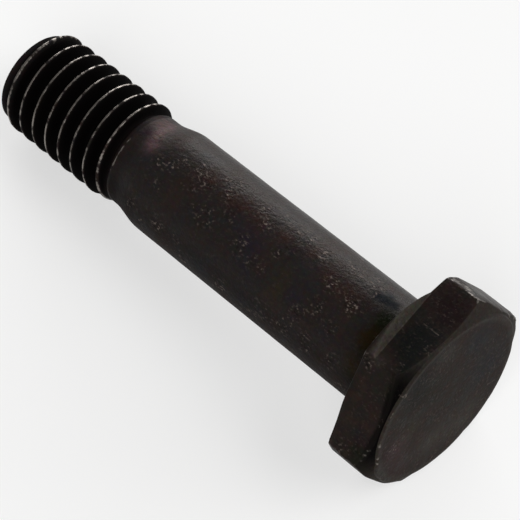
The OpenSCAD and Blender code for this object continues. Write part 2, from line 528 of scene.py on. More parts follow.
class Skin:
    """The points and faces of the bolt's one closed surface, in the bolt's own axes."""

    def __init__(self, columns: np.ndarray) -> None:
        """Starts an empty skin with its columns at some angles round the axis."""
        self.columns = columns
        self.points: list[np.ndarray] = []
        self.marks: list[np.ndarray] = []
        self.faces: list[tuple[int, ...]] = []
        self.count = 0

    def add(self, points: np.ndarray, marks: Marks) -> np.ndarray:
        """Adds points with their marks.

        Args:
            points: One row for each point.
            marks: The marks of these points.

        Returns:
            The numbers of the new points.
        """
        size = len(points)
        self.points.append(points)
        self.marks.append(marks.table(size))
        self.count += size
        return np.arange(self.count - size, self.count)

    def ring(
        self, radius: float | np.ndarray, along: float | np.ndarray, marks: Marks = Marks()
    ) -> np.ndarray:
        """Adds a ring of points, one on each column.

        Args:
            radius: Distance from the axis, one value or one for each column.
            along: Distance from the point of the bolt, one value or one for each column.
            marks: The marks of the ring.

        Returns:
            The numbers of the ring's points.
        """
        r = np.broadcast_to(radius, self.columns.shape)
        t = np.broadcast_to(along, self.columns.shape)
        return self.add(np.stack([r * np.cos(self.columns), r * np.sin(self.columns), t], axis=1), marks)

    def bridge(self, low: np.ndarray, high: np.ndarray) -> np.ndarray:
        """Joins two rings with faces that look outwards, and returns the second ring."""
        low_next, high_next = np.roll(low, -1), np.roll(high, -1)
        self.faces += [tuple(q) for q in np.stack([low, low_next, high_next, high], axis=1).tolist()]
        return high

    def cap(self, ring: np.ndarray, along: float, looks_to_head: bool, marks: Marks = Marks()) -> None:
        """Closes a ring with a fan round one point on the axis.

        Args:
            ring: The ring's point numbers.
            along: Where the middle point is on the axis.
            looks_to_head: Whether the fan faces away from the point of the bolt.
            marks: The marks of the middle point.
        """
        middle = int(self.add(np.array([[0.0, 0.0, along]]), marks)[0])
        for a, b in zip(ring.tolist(), np.roll(ring, -1).tolist()):
            self.faces.append((a, b, middle) if looks_to_head else (b, a, middle))


@dataclass
class Thread:
    """The rolled right-hand thread, with its point and its run-out into the neck."""

    crest_r: float = 4.725
    blank_r: float = 4.25
    pitch: float = 1.5875
    depth_share: float = 0.612
    crest_share: float = 0.125
    flank_deg: float = 60.0
    length: float = 13.5
    point_len: float = 0.9
    runout_len: float = 0.6
    crest_start: float = 0.3
    first: float = 0.12
    row_gap: float = 0.015
    crest_round: float = 0.07
    root_round: float = 0.12
    # Radius, distance from the point and wear of the rows from the point's dished face to its edge.
    point_rows: tuple[tuple[float, float, float], ...] = (
        (2.8, 0.03, 0.0),
        (3.6, 0.01, 0.0),
        (3.98, 0.0, 0.1),
        (4.1, 0.01, 0.4),
        (4.19, 0.05, 0.4),
    )
    # Rows from the middle of a crest to the root: their places along the pitch, their wear, their dirt with
    # painted shade that deepens towards the root, and how much of the first turn's broader wear each gets.
    half_rows: tuple[float, ...] = (0.025, 0.06, 0.1, 0.16, 0.33, 0.52, 0.65, 0.75)
    half_wear: tuple[float, ...] = (1.0, 0.9, 0.35, 0.0, 0.0, 0.0, 0.0, 0.0)
    half_grime_and_shade: tuple[float, ...] = (0.05, 0.2, 0.6, 0.95, 1.0, 1.0, 1.0, 1.0)
    half_broad: tuple[float, ...] = (1.0, 1.0, 1.0, 0.62, 0.1, 0.0, 0.0, 0.0)
    first_turn_end: float = 2.0
    first_turn_fade: float = 0.8
    first_turn_wear: float = 0.85
    blank_grime: float = 0.3
    crest_end: float = 13.1
    crest_fade: float = 0.9
    # The rolling die left the thread's end sooner on one side, and rubbed its edge bright on another.
    end_slant: float = 0.42
    early_end: Band = Band(0, 80, 140, 250)
    rolled_edge: Band = Band(171, 199, 227, 255)
    rolled_wear: float = 0.95

    def share(self, t: np.ndarray, angle: np.ndarray) -> np.ndarray:
        """Gives how much of the full form is there.

        Args:
            t: Distances from the point.
            angle: Angles round the axis.

        Returns:
            A share from 0 to 1, which fades out sooner on the side that the rolling die left first.
        """
        end = self.length - self.end_slant * self.early_end.share(angle)
        return smooth(t / self.point_len) * smooth((end - t) / self.runout_len)

    def radius(self, t: np.ndarray, angle: np.ndarray) -> np.ndarray:
        """Gives the radius of the rolled surface.

        Args:
            t: Distances from the point.
            angle: Angles round the axis.

        Returns:
            The radius at each place.
        """
        along = t - self.crest_start - self.pitch * angle / TURN
        off = np.abs(along - self.pitch * np.round(along / self.pitch))
        lean = math.tan(math.radians(self.flank_deg / 2))
        crest_half = self.crest_share * self.pitch / 2
        root_at = crest_half + self.depth_share * self.pitch * lean
        fall = eased_ramp(off - crest_half, self.crest_round) - eased_ramp(off - root_at, self.root_round)
        rise = self.crest_r - fall / lean - self.blank_r
        rise = np.where(rise > 0, rise * smooth((self.crest_end - t) / self.crest_fade), rise)
        return self.blank_r + self.share(t, angle) * rise

    def build(self, skin: Skin) -> np.ndarray:
        """Adds the face of the point and the thread.

        Args:
            skin: The skin to add to.

        Returns:
            The ring at the end of the run-out.
        """
        ring = skin.ring(1.4, 0.05, Marks(grime=0.2))
        skin.cap(ring, 0.06, looks_to_head=False)
        for r, t, wear in self.point_rows:
            ring = skin.bridge(ring, skin.ring(r, t, Marks(wear=wear, grime=0.2)))
        foot_r = self.radius(np.full(skin.columns.shape, self.first), skin.columns)
        foot = skin.ring(foot_r, self.first, Marks(grime=self.blank_grime))
        skin.bridge(ring, foot)
        bright = self.rolled_wear * self.rolled_edge.share(skin.columns)
        top = skin.ring(self.blank_r, self.length, Marks(wear=bright, grime=self.blank_grime))
        self.wind(skin, foot, top)
        return top

    def wind(self, skin: Skin, foot: np.ndarray, top: np.ndarray) -> None:
        """Winds helical rows between two rings, each row ending where it meets a ring.

        Args:
            skin: The skin to add to.
            foot: The ring near the point.
            top: The ring at the end of the run-out.
        """
        offsets = np.concatenate([-np.array(self.half_rows[::-1]), np.array(self.half_rows)])
        wear, grime, broad = (
            np.array(half[::-1] + half) for half in (self.half_wear, self.half_grime_and_shade, self.half_broad)
        )
        per_turn = len(offsets)
        turns = math.ceil(self.length / self.pitch) + 3
        row = np.arange(turns * per_turn)
        starts = self.crest_start + self.pitch * (row // per_turn - 2) + offsets[row % per_turn]
        t = starts[:, None] + self.pitch * skin.columns[None, :] / TURN
        numbers = np.where(t < self.length / 2, foot[None, :], top[None, :])
        inside = (t > self.first + self.row_gap) & (t < self.length - self.row_gap)
        angle = np.broadcast_to(skin.columns[None, :], t.shape)[inside]
        r = self.radius(t[inside], angle)
        rows = np.broadcast_to((row % per_turn)[:, None], t.shape)[inside]
        full = self.share(t[inside], angle)
        first_turn = broad[rows] * smooth((self.first_turn_end - t[inside]) / self.first_turn_fade)
        worn = np.maximum(wear[rows] * full, self.first_turn_wear * first_turn)
        # Dirt with painted shade, deepest in the roots, easing where the form runs out and lighter on the
        # first turn.
        dirt_and_shade = (self.blank_grime + (grime[rows] - self.blank_grime) * full) * (1 - 0.6 * first_turn)
        points = np.stack([r * np.cos(angle), r * np.sin(angle), t[inside]], axis=1)
        numbers[inside] = skin.add(points, Marks(wear=worn, grime=dirt_and_shade))
        next_turn = np.concatenate([numbers[per_turn:, 0], np.full(per_turn, top[0])])
        numbers = np.concatenate([numbers, next_turn[:, None]], axis=1)
        corners = (numbers[:-1, :-1], numbers[:-1, 1:], numbers[1:, 1:], numbers[1:, :-1])
        for quad in np.stack(corners, axis=-1).reshape(-1, 4).tolist():
            face = tuple(dict.fromkeys(quad))
            if len(face) > 2:
                skin.faces.append(face)


@dataclass
class Shank:
    """The turned-down neck, its cone, the full-diameter shank and the fillet under the head."""

    shank_r: float = 4.7625
    blank_r: float = 4.25
    neck_end: float = 14.45
    cone_len: float = 2.1
    cone_round: float = 0.5
    length: float = BEARING
    fillet_r: float = 0.6
    row_step: float = 0.4
    neck_rows: int = 18
    fillet_rows: int = 7
    # The lower side is dull, and darkened with painted shade.
    dull_shaded_side: Band = Band(228, 254, 305, 345)

    def radius(self, t: float) -> float:
        """Gives the radius of the neck, the cone and the shank at a distance from the point."""
        past = np.array([t - self.neck_end, t - self.neck_end - self.cone_len])
        rise, stop = eased_ramp(past, self.cone_round)
        return float(self.blank_r + (self.shank_r - self.blank_r) * (rise - stop) / self.cone_len)

    def marks(self, t: float, under: np.ndarray) -> Marks:
        """Gives the marks of one row.

        Args:
            t: The row's distance from the point.
            under: How far each column is on the lower side.

        Returns:
            The marks, darker towards the thread and the head, and with painted shade on the lower side.
        """
        cone_end = self.neck_end + self.cone_len + self.cone_round
        by_thread = 0.25 * smooth((self.neck_end + 0.6 - t) / 0.9)
        by_head = 0.5 * smooth((t - self.length + self.fillet_r + 1.2) / 1.2)
        return Marks(
            # The lower side's share of this darkening is painted shade.
            grime=by_thread + by_head + 0.25 * under,
            specks=0.05 * smooth((t - self.neck_end) / 1.5),
            matt=0.6 * smooth((cone_end + 0.4 - t) / 0.8) + 1.3 * under,
        )

    def build(self, skin: Skin, ring: np.ndarray, thread_end: float) -> np.ndarray:
        """Adds the neck, cone, shank and fillet.

        Args:
            skin: The skin to add to.
            ring: The ring at the end of the thread.
            thread_end: Where that ring is.

        Returns:
            The ring where the fillet meets the bearing face.
        """
        cone_end = self.neck_end + self.cone_len + self.cone_round
        shank_end = self.length - self.fillet_r
        under = self.dull_shaded_side.share(skin.columns)
        shank_rows = round((shank_end - cone_end) / self.row_step)
        neck = np.linspace(thread_end, cone_end, self.neck_rows)[1:]
        shank = np.linspace(cone_end, shank_end, shank_rows)[1:]
        for t in np.concatenate([neck, shank]).tolist():
            ring = skin.bridge(ring, skin.ring(self.radius(t), t, self.marks(t, under)))
        for step in np.linspace(0, math.pi / 2, self.fillet_rows)[1:]:
            r = self.shank_r + self.fillet_r * (1 - math.cos(step))
            t = shank_end + self.fillet_r * math.sin(step)
            ring = skin.bridge(ring, skin.ring(r, t, Marks(grime=0.7, specks=0.1)))
        return ring


@dataclass
class Head:
    """The forged hexagon head with its trim ledge, conical chamfer, steep rim and flat front."""

    base: float = BEARING
    height: float = FRONT - BEARING
    across_flats: float = 15.875
    corner_round: float = 0.3
    face_inset: float = 0.24
    rim_h: float = 0.2
    rim_deg: float = 65.0
    chamfer_deg: float = 23.0
    edge: float = 0.1
    # Share of a rounded edge's reach that its middle row stays inside the sharp edge.
    edge_middle: float = 0.29
    ledge_out: float = 1.0
    ledge_w: float = 7.2
    ledge_h: float = 1.0
    ledge_deg: float = 24.0
    ledge_fall_deg: float = 6.5
    ledge_low: float = 0.15
    # The forging swells out of true: at one flat's bearing edge, at a blunt corner and on the far flat.
    low_swelling: float = 0.3
    blunt_swelling: float = 0.34
    far_swelling: float = 0.3
    blunt_corner: Band = Band(270, 281, 300, 326)
    far_bulge: Band = Band(90, 104, 139, 151)
    # The chamfer is worn deeper beside one flat, and most at the corner next to it.
    sunk_flat: Band = Band(198.4, 224.4, 255.6, 281.6)
    sunk_flat_depth: float = 0.16
    sunk_corner_deg: float = 270.0
    sunk_corner_depth: float = 0.28
    # Painted shade darkens the chamfer, most on one side, and the brow beside it; one corner is flecked and
    # the far flat is polished.
    shaded_chamfer: Band = Band(186.5, 216.5, 261.5, 291.5)
    shaded_brow: Band = Band(199, 225, 251, 277)
    flecked_corner: Band = Band(138.5, 143.5, 148.5, 153.5)
    far_flat: Band = Band(75, 105, 135, 165)
    pale_ledge: Band = Band(0, 1, 168, 192)
    front_rows_r: tuple[float, ...] = (7.15, 6.9, 6.6, 6.2, 5.8, 5.3, 4.8, 4.2, 3.6, 3.0, 2.3, 1.6, 0.8)
    front_marks: Marks = Marks(specks=0.16, matt=1.0)

    @property
    def flat_r(self) -> float:
        """Distance from the axis to a flat."""
        return self.across_flats / 2

    @property
    def side_w(self) -> float:
        """Width of one side of the hexagon."""
        return self.flat_r / math.cos(math.pi / 6)

    def hexagon(self, angle: np.ndarray) -> np.ndarray:
        """Gives the distance from the axis to the hexagon's side, with its corners rounded."""
        turn = math.pi / 6
        off = np.abs(np.mod(angle, 2 * turn) - turn)
        middle = (self.flat_r - self.corner_round) / math.cos(turn)
        end = math.atan2(self.corner_round * math.sin(turn), middle + self.corner_round * math.cos(turn))
        inner = np.maximum(self.corner_round**2 - (middle * np.sin(off)) ** 2, 0)
        return np.where(off < end, middle * np.cos(off) + np.sqrt(inner), self.flat_r / np.cos(turn - off))

    def ledge(self, angle: np.ndarray) -> tuple[np.ndarray, np.ndarray, np.ndarray]:
        """Gives the ledge on the upper flat.

        Args:
            angle: Angles round the axis.

        Returns:
            The ledge's outer radius, the height of its outer edge and the height of its fold on the flat.
            Away from the ledge they follow the hexagon's side.
        """
        side = self.hexagon(angle)
        bow = ((self.ledge_w / 2) ** 2 + self.ledge_out**2) / (2 * self.ledge_out)
        middle = np.array([bow - self.flat_r - self.ledge_out, (self.ledge_w - self.side_w) / 2])
        reach = middle[0] * np.cos(angle) + middle[1] * np.sin(angle)
        arc = reach + np.sqrt(bow**2 - middle @ middle + reach**2)
        upper = np.abs(angle - math.pi) < math.pi / 6
        outer = np.where(upper, np.maximum(side, arc), side)
        fall = math.tan(math.radians(self.ledge_fall_deg)) / math.cos(math.radians(self.ledge_deg))
        fold = self.ledge_h - fall * (side * np.sin(angle) + self.side_w / 2)
        drop = (-outer * np.cos(angle) - self.flat_r) * math.tan(math.radians(self.ledge_deg))
        edge = self.ledge_h - drop - fall * (outer * np.sin(angle) + self.side_w / 2)
        round_trip = np.mod(angle - math.radians(210), TURN) / math.radians(300)
        plain = self.ledge_h + (self.ledge_low - self.ledge_h) * round_trip
        fold = np.where(upper, np.maximum(fold, self.ledge_low), plain)
        return outer, np.clip(np.where(upper, edge, fold), 0.5 * self.ledge_low, 0.75 * fold), fold

    def flare(self, angle: np.ndarray, radius: np.ndarray, height: np.ndarray) -> np.ndarray:
        """Gives how far the forging swells out of true.

        Args:
            angle: Angles round the axis.
            radius: Distances from the axis.
            height: Heights over the bearing face.

        Returns:
            The swelling in millimetres, none inside the edge of the head.
        """
        bearing_edge = np.exp(-(((np.degrees(angle) - 237) / 16) ** 2) - (height / 1.5) ** 2)
        swelling = self.low_swelling * bearing_edge + self.blunt_swelling * self.blunt_corner.share(angle)
        swelling += self.far_swelling * self.far_bulge.share(angle) * smooth((4.5 - height) / 1.6)
        return swelling * smooth((radius - 7.2) / 0.6)

    @property
    def rim(self) -> tuple[float, float]:
        """Radius and height of the foot of the rim round the front."""
        run = self.rim_h / math.tan(math.radians(self.rim_deg))
        return self.flat_r - self.face_inset + run, self.height - self.rim_h

    def brow(self, angle: np.ndarray) -> tuple[np.ndarray, np.ndarray]:
        """Gives the height at which the chamfer meets the sides, and the reach of that edge's rounding."""
        side = self.hexagon(angle)
        rim_r, rim_z = self.rim
        chamfer = math.radians(self.chamfer_deg)
        at_corner = np.exp(-(((np.degrees(angle) - self.sunk_corner_deg) / 5) ** 2))
        worn = self.sunk_flat_depth * self.sunk_flat.share(angle) + self.sunk_corner_depth * at_corner
        soft = np.minimum(self.edge, 0.3 * (side - rim_r) / math.cos(chamfer))
        return rim_z - (side - rim_r) * math.tan(chamfer) - worn, soft

    def corners(self, angle: np.ndarray) -> np.ndarray:
        """Gives 1 on the corners of the hexagon, fading to 0 beside them."""
        turn = math.pi / 6
        off = np.abs(np.mod(angle, 2 * turn) - turn)
        return np.exp(-((off / math.radians(1.6)) ** 2))

    def chamfer_shade(self, angle: np.ndarray) -> np.ndarray:
        """Gives how much painted shade darkens the chamfer: a little all round, and most on one side."""
        return 0.15 + 0.85 * self.shaded_chamfer.share(angle)

    def brow_shade(self, angle: np.ndarray) -> tuple[np.ndarray, np.ndarray]:
        """Gives how much painted shade lies along the brow, and the share of wear that shows through it."""
        dirt_and_shade = 0.75 * self.shaded_brow.share(angle)
        return dirt_and_shade, 1 - 1.2 * dirt_and_shade

    def side_marks(self, angle: np.ndarray, wear: np.ndarray, **others: float | np.ndarray) -> Marks:
        """Gives the marks of a row on the sides.

        Args:
            angle: Angles round the axis.
            wear: How worn the row is.
            others: Its other marks, by name.

        Returns:
            The marks, with flecks at one corner and a polish on the far flat.
        """
        flecks = 0.6 * self.flecked_corner.share(angle)
        polish = 1.7 * self.far_flat.share(angle)
        return Marks(wear=wear + flecks, matt=0.6 - polish, **others)

    def bearing_rows(self, angle: np.ndarray, inner_r: float) -> list[Row]:
        """Gives the rows over the bearing face and round its edge.

        Args:
            angle: Angles round the axis.
            inner_r: The radius at which the face starts.

        Returns:
            The rows' radii, heights and marks.
        """
        outer, lip, _ = self.ledge(angle)
        level = np.zeros_like(angle)
        low = np.minimum(self.edge, 0.35 * lip)
        scaly = Marks(grime=0.3, specks=0.15, matt=0.5)
        rows = [(inner_r + step * (outer - 0.25 - inner_r), level, scaly) for step in (0.3, 0.6, 0.85)]
        return rows + [
            (outer - 0.22, level, Marks(grime=0.2, specks=0.15, matt=0.5)),
            (outer - self.edge, level, Marks(wear=0.25)),
            (outer - self.edge_middle * self.edge, self.edge_middle * low, Marks(wear=0.6)),
            (outer, low, Marks(wear=0.35 + 0.1 * self.corners(angle))),
        ]

    def side_rows(self, angle: np.ndarray) -> list[Row]:
        """Gives the rows up the ledge and the sides to the brow.

        Args:
            angle: Angles round the axis.

        Returns:
            The rows' radii, heights and marks.
        """
        side, corner = self.hexagon(angle), self.corners(angle)
        outer, lip, fold = self.ledge(angle)
        brow, soft = self.brow(angle)
        dirt_and_shade, unshaded = self.brow_shade(angle)
        thin = smooth((outer - side) / 0.15) * (0.95 + 0.4 * self.pale_ledge.share(angle))
        under_lip = lip - np.minimum(0.05, 0.25 * lip)
        rows = [(outer, under_lip, self.side_marks(angle, 0.15 + 0.25 * corner, pale=thin))]
        on_ledge = self.side_marks(angle, 0.25 * corner, specks=0.1, pale=thin)
        for step in (0.06, 0.5, 0.97, 1.0):
            rows.append((outer + step * (side - outer), lip + step * (fold - lip), on_ledge))
        on_side = self.side_marks(angle, 0.25 * corner, specks=0.09)
        for step in (0.015, 0.1, 0.25, 0.42, 0.58, 0.75, 0.9):
            rows.append((side, fold + step * (brow - 2 * soft - fold), on_side))
        for inward, below, wear, specks in (
            (0.0, 2.0, 0.25 * corner, 0.05),
            (0.0, 1.0, 0.1 + 0.3 * corner, 0.0),
            (0.16, 0.13, 0.25 + 0.2 * corner, 0.0),
        ):
            # Painted shade darkens the brow on one side and hides its wear there.
            marks = self.side_marks(angle, wear * unshaded, grime=dirt_and_shade, specks=specks)
            rows.append((side - inward * soft, brow - below * soft, marks))
        return rows

    def chamfer_rows(self, angle: np.ndarray) -> list[Row]:
        """Gives the rows from the brow over the chamfer to the foot of the rim.

        Args:
            angle: Angles round the axis.

        Returns:
            The rows' radii, heights and marks.
        """
        side, corner, chamfer_shade = self.hexagon(angle), self.corners(angle), self.chamfer_shade(angle)
        brow, soft = self.brow(angle)
        _, unshaded = self.brow_shade(angle)
        rim_r, rim_z = self.rim
        slope = (rim_z - brow) / (side - rim_r)
        reach = soft * math.cos(math.radians(self.chamfer_deg))
        rows = []
        for step in (1.0, 2.0):
            wear = (0.2 / step + 0.2 * corner) * unshaded
            # Painted shade darkens the chamfer, most on one side.
            marks = Marks(wear=wear, grime=0.9 * chamfer_shade, matt=1.0, pale=0.5)
            rows.append((side - step * reach, brow + step * reach * slope, marks))
        start = side - 2 * reach
        for step in (0.35, 0.7, 0.97):
            r = start + step * (rim_r - start)
            # Painted shade darkens the chamfer down to the foot of the rim.
            rows.append((r, rim_z - (r - rim_r) * slope, Marks(grime=chamfer_shade, matt=1.0, pale=0.5)))
        return rows

    def front_rows(self, angle: np.ndarray) -> list[Row]:
        """Gives the rows up the rim, round the front's edge and in over the front.

        Args:
            angle: Angles round the axis.

        Returns:
            The rows' radii, heights and marks.
        """
        rim_r, rim_z = self.rim
        face_r = self.flat_r - self.face_inset
        even = np.zeros_like(angle)
        bright = 0.8 + 0.5 * self.chamfer_shade(angle)
        rows = []
        for r, z, wear in (
            (rim_r - 0.015, rim_z + 0.02, 0.0),
            (face_r + 0.035, self.height - 0.075, 0.15),
            (face_r + 0.01, self.height - 0.03, 0.42),
            (face_r - 0.04, self.height - 0.006, 0.4),
            (face_r - 0.1, self.height, 0.15),
            (face_r - 0.22, self.height, 0.0),
        ):
            rows.append((r + even, z + even, Marks(wear=wear * bright, specks=0.1, matt=0.8, pale=0.4)))
        return rows + [(r + even, self.height + even, self.front_marks) for r in self.front_rows_r]

    def build(self, skin: Skin, ring: np.ndarray, inner_r: float) -> None:
        """Adds the bearing face, the sides and the front, and closes the skin.

        Args:
            skin: The skin to add to.
            ring: The ring where the fillet meets the bearing face.
            inner_r: That ring's radius.
        """
        angle = skin.columns
        rows = self.bearing_rows(angle, inner_r) + self.side_rows(angle)
        rows += self.chamfer_rows(angle) + self.front_rows(angle)
        for r, z, marks in rows:
            ring = skin.bridge(ring, skin.ring(r + self.flare(angle, r, z), self.base + z, marks))
        skin.cap(ring, self.base + self.height, looks_to_head=True, marks=self.front_marks)


@dataclass(frozen=True)
class BlackOxideSteel:
    """Forged steel with a black-oxide finish, oiled, and rubbed bare where it has met other steel.

    The oxide is a thin dark skin that is no metal itself: it gives a warm black with a soft satin gloss,
    cloudy where it is thicker or oilier. Bare steel shows as thin grey lines on crests and edges and as pale
    specks in the scale, whose colour stands for their glints too. Dark pits carry painted shade, and the
    near black of oily dirt is laid on as painted shade as well.
    """

    name: str = "black_oxide_steel"
    oxide: str = "#231f1e"
    oxide_brown: str = "#271f1d"
    oxide_blue: str = "#222021"
    oxide_thin: str = "#38342f"
    # Near black of oily dirt, also laid on as painted shade.
    dirt_and_shade: str = "#030202"
    # Pale flecks of bare steel, whose colour also stands for painted glints.
    fleck_and_glint: str = "#71665f"
    # Dark pits, with painted shade in them.
    pit_and_shade: str = "#0b0807"
    steel: str = "#827c76"
    cloud_mm: float = 2.6
    grit_mm: float = 0.3
    cluster_mm: float = 1.6
    # The oxide film is thicker here and thinner there, which tints it faintly.
    film_mm: float = 0.4
    film: float = 0.42
    # The real pits and glints are about 0.1 mm across. They are drawn at about 0.21 mm, so that they show.
    speck_mm: float = 0.21
    scratch_mm: float = 0.07
    relief_mm: float = 0.025
    grain: float = 0.35
    gloss: float = 0.065
    gleam: str = "#ffffff"
    roughness: tuple[float, float] = (0.31, 0.43)

    def material(self, scratches: tuple[tuple[Vector, Vector, bool], ...] = ()) -> bpy.types.Material:
        """Makes the finish as a node material.

        Args:
            scratches: The ends of each scratch in metres, and whether it is bare.

        Returns:
            The material.
        """
        made, add = empty_material(self.name)
        place = add(Kind.PLACE)["Object"]
        marks = {mark: add(Kind.ATTRIBUTE, {"attribute_name": mark.label})["Fac"] for mark in Mark}
        slow = {"Scale": 1 / (self.cloud_mm * MM), "Detail": 6.0, "Roughness": 0.62}
        cloud = add(Kind.NOISE, slow, {"Vector": place})["Fac"]
        fine = {"Scale": 1 / (self.grit_mm * MM), "Detail": 4.0, "Roughness": 0.6}
        grit = add(Kind.NOISE, fine, {"Vector": place})["Fac"]
        tone = self.oxide_tone(add, cloud, grit, marks)
        film = add(Kind.NOISE, {"Scale": 1 / (self.film_mm * MM), "Detail": 3.0}, {"Vector": place})["Color"]
        overlay = {"data_type": "RGBA", "blend_type": "OVERLAY", 0: self.film}
        tone = add(Kind.MIX, overlay, {6: tone, 7: film})[2]
        tone, dents = self.pitted(add, place, tone, marks[Mark.SPECKS])
        gaps = {"From Min": 0.38, "From Max": 0.6, "To Max": 1.4}
        broken = add(Kind.RANGE, gaps, {"Value": grit})["Result"]
        for start, end, is_bare in scratches:
            mask = self.scratched(add, place, start, end)
            mask = add(Kind.MATH, {"operation": "MULTIPLY", "use_clamp": True}, {0: mask, 1: broken})[0]
            other = linear(self.fleck_and_glint if is_bare else self.pit_and_shade)
            tone = add(Kind.MIX, {"data_type": "RGBA", 7: other}, {0: mask, 6: tone})[2]
        bare = self.rubbed(add, grit, marks[Mark.WEAR])
        tone = add(Kind.MIX, {"data_type": "RGBA", 7: linear(self.steel)}, {0: bare, 6: tone})[2]

        smoothest, roughest = self.roughness
        spread = {"From Min": 0.3, "From Max": 0.7, "To Min": smoothest, "To Max": roughest}
        rough = add(Kind.RANGE, spread, {"Value": cloud})["Result"]
        for mark, more in ((Mark.MATT, 0.2), (Mark.GRIME, 0.25)):
            rough = add(Kind.MATH, {"operation": "MULTIPLY_ADD", 1: more}, {0: marks[mark], 2: rough})[0]
        relief = add(Kind.MATH, {"operation": "MULTIPLY", 1: self.grain}, {0: grit})[0]
        relief = add(Kind.MATH, {"operation": "MULTIPLY_ADD", 1: 5.0}, {0: dents, 2: relief})[0]
        depth = {"Strength": 0.8, "Distance": self.relief_mm * MM}
        bump = add(Kind.BUMP, depth, {"Height": relief})["Normal"]
        shader = add(
            Kind.PRINCIPLED,
            {"Specular IOR Level": self.gloss, "Specular Tint": linear(self.gleam)},
            {"Base Color": tone, "Metallic": bare, "Roughness": rough, "Normal": bump},
        )["BSDF"]
        add(Kind.OUTPUT, {}, {"Surface": shader})
        return made

    def oxide_tone(self, add: Adder, cloud: Socket, grit: Socket, marks: dict[Mark, Socket]) -> Socket:
        """Makes the tone of the oxide: cloudy, grey where it is thin, stained, with painted sheen and shade
        among the stains, and black under dirt and painted shade.

        Args:
            add: The function that adds a node to the material.
            cloud: Slow unevenness.
            grit: Fine unevenness.
            marks: The sockets of the marks.

        Returns:
            The colour socket.
        """
        stain = add(Kind.ATTRIBUTE, {"attribute_name": "stain"})
        eased = {"interpolation_type": "SMOOTHSTEP"}
        warm = add(Kind.RANGE, {"From Min": 0.5, "From Max": 0.64, **eased}, {"Value": cloud})["Result"]
        cold = add(Kind.RANGE, {"From Min": 0.48, "From Max": 0.36, **eased}, {"Value": cloud})["Result"]
        uneven = add(Kind.MATH, {"operation": "MULTIPLY_ADD", 1: 2.4, 2: -0.3}, {0: grit})[0]
        patch, thin = (
            add(Kind.MATH, {"operation": "MULTIPLY", "use_clamp": True}, {0: uneven, 1: mask})[0]
            for mask in (stain["Alpha"], marks[Mark.PALE])
        )
        oxides = {"data_type": "RGBA", 6: linear(self.oxide), 7: linear(self.oxide_brown)}
        tone = add(Kind.MIX, oxides, {0: warm})[2]
        tone = add(Kind.MIX, {"data_type": "RGBA", 7: linear(self.oxide_blue)}, {0: cold, 6: tone})[2]
        tone = add(Kind.MIX, {"data_type": "RGBA"}, {0: patch, 6: tone, 7: stain["Color"]})[2]
        # Thin oxide turns the tone grey, and dirt with painted shade turns it near black.
        for mask, other in ((thin, self.oxide_thin), (marks[Mark.GRIME], self.dirt_and_shade)):
            tone = add(Kind.MIX, {"data_type": "RGBA", 7: linear(other)}, {0: mask, 6: tone})[2]
        return tone

    def rubbed(self, add: Adder, grit: Socket, wear: Socket) -> Socket:
        """Makes a mask of bare steel.

        Args:
            add: The function that adds a node to the material.
            grit: Fine unevenness, which breaks up the mask.
            wear: How worn the place is.

        Returns:
            A socket that is 1 where the steel is bare.
        """
        rub = add(Kind.MATH, {"operation": "MULTIPLY_ADD", 1: 1.6, 2: -0.8}, {0: grit})[0]
        rub = add(Kind.MATH, {"operation": "ADD"}, {0: rub, 1: wear})[0]
        steep = {"From Min": 0.45, "From Max": 0.95, "interpolation_type": "SMOOTHSTEP"}
        bare = add(Kind.RANGE, steep, {"Value": rub})["Result"]
        return add(Kind.MATH, {"operation": "MULTIPLY", "use_clamp": True}, {0: bare, 1: wear})[0]

    def pitted(self, add: Adder, place: Socket, tone: Socket, specks: Socket) -> tuple[Socket, Socket]:
        """Lays pale flecks of bare steel, which double as painted glints, and dark pits with painted shade
        over a tone, crowded in patches.

        Args:
            add: The function that adds a node to the material.
            place: The place on the piece.
            tone: The tone under them.
            specks: How pitted the place is.

        Returns:
            The new colour socket, and a socket with the depth of the dents.
        """
        cluster = {"Scale": 1 / (self.cluster_mm * MM), "Detail": 3.0}
        patchy = add(Kind.NOISE, cluster, {"Vector": place})["Fac"]
        spread = {"From Min": 0.4, "From Max": 0.56, "To Min": 0.3, "To Max": 1.2}
        patchy = add(Kind.RANGE, spread, {"Value": patchy})["Result"]
        crowd = add(Kind.MATH, {"operation": "MULTIPLY"}, {0: patchy, 1: specks})[0]
        drawn_out = add(Kind.VECTOR, {"operation": "MULTIPLY", 1: (0.7, 1, 1)}, {0: place})["Vector"]
        small = {"Scale": 1 / (self.speck_mm * MM), "Detail": 2.0}
        dents = add(Kind.NOISE, small, {"Vector": drawn_out})["Fac"]
        # Dark pits with painted shade, then pale flecks that double as painted glints.
        for low, high, other in ((0.45, 0.33, self.pit_and_shade), (0.57, 0.7, self.fleck_and_glint)):
            some = add(Kind.RANGE, {"From Min": low, "From Max": high}, {"Value": dents})["Result"]
            some = add(Kind.MATH, {"operation": "MULTIPLY", "use_clamp": True}, {0: some, 1: crowd})[0]
            tone = add(Kind.MIX, {"data_type": "RGBA", 7: linear(other)}, {0: some, 6: tone})[2]
        dents = add(Kind.MATH, {"operation": "SUBTRACT", 1: 0.5}, {0: dents})[0]
        return tone, add(Kind.MATH, {"operation": "MULTIPLY"}, {0: dents, 1: crowd})[0]

